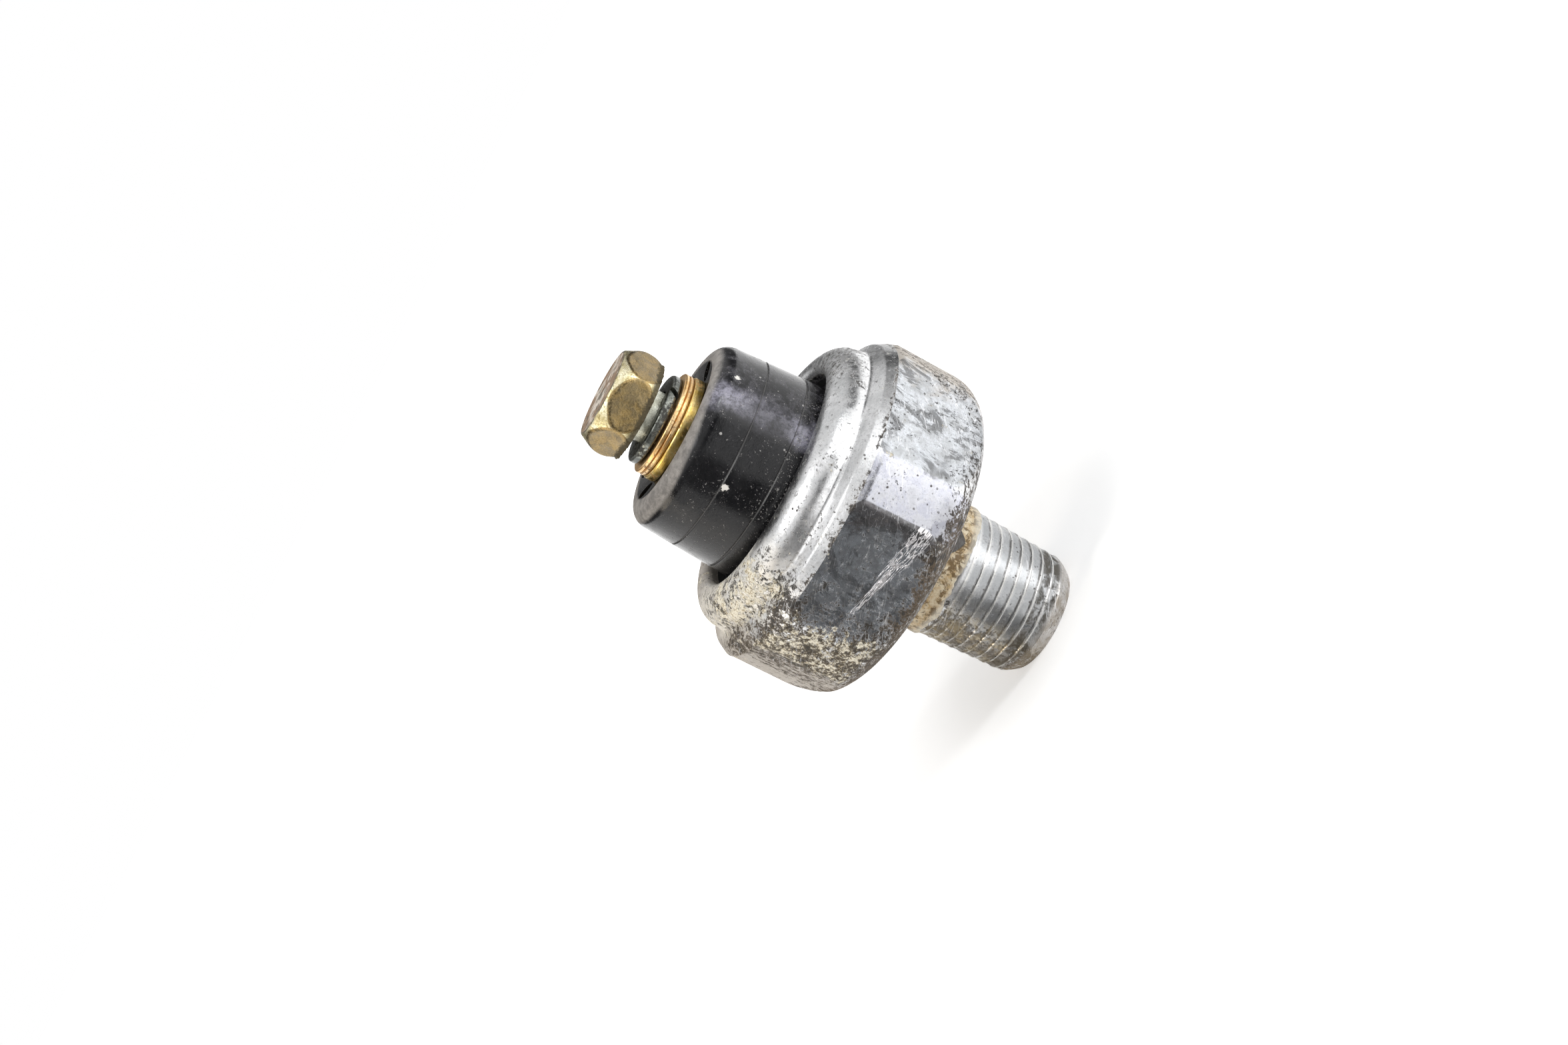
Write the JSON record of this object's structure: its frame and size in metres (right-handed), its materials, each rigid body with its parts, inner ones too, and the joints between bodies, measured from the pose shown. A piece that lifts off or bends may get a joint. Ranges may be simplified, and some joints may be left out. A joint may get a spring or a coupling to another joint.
{
  "type": "oil pressure sender",
  "caption": "Screw-in oil pressure sender: taper-threaded nipple, hexagon body with a rolled rim, moulded insulator and a screw terminal with washers.",
  "frame": {"origin": "on the axis, at the underside of the hexagon, where the nipple's neck begins", "axes": "+Z along the axis towards the terminal screw, thread pointing down; +X square to one hexagon flat"},
  "size_m": [0.0254, 0.0258, 0.037],
  "materials": {
    "zinc_steel": "bright zinc plate, worn",
    "sealant": "dried paste",
    "black_phenolic": "semi-gloss",
    "packing": "matt",
    "film": "smooth film",
    "contact_brass": "stamped",
    "contact_points": "silver",
    "pusher_plastic": "moulded",
    "spring_wire": "drawn wire",
    "terminal_brass": "turned",
    "copper_washer": "copper plate",
    "dark_steel": "blackened",
    "yellow_zinc": "yellow passivated zinc"
  },
  "bodies": {
    "housing": {"body": "zinc_steel", "thread_sealant": "sealant", "seal_ring": "packing", "diaphragm": "film", "contact_ring": "contact_brass", "contact_spring": "spring_wire", "insulator": "black_phenolic", "rim_packing": "packing", "terminal_insert": "terminal_brass", "flat_washer": "copper_washer", "spring_washer": "dark_steel", "terminal_screw": "yellow_zinc"},
    "moving_contact": {"pusher": "pusher_plastic", "contact_plate": "contact_brass", "contact_rivets": "contact_points"}
  },
  "joints": [
    {"name": "contact_travel", "type": "slide", "parent": "housing", "child": "moving_contact", "axis": [0, 0, 1], "range_m": [0, 0.0005], "stiffness_N_per_m": 1000, "springref_m": -0.0024, "deforming": ["contact_spring", "diaphragm"]}
  ]
}
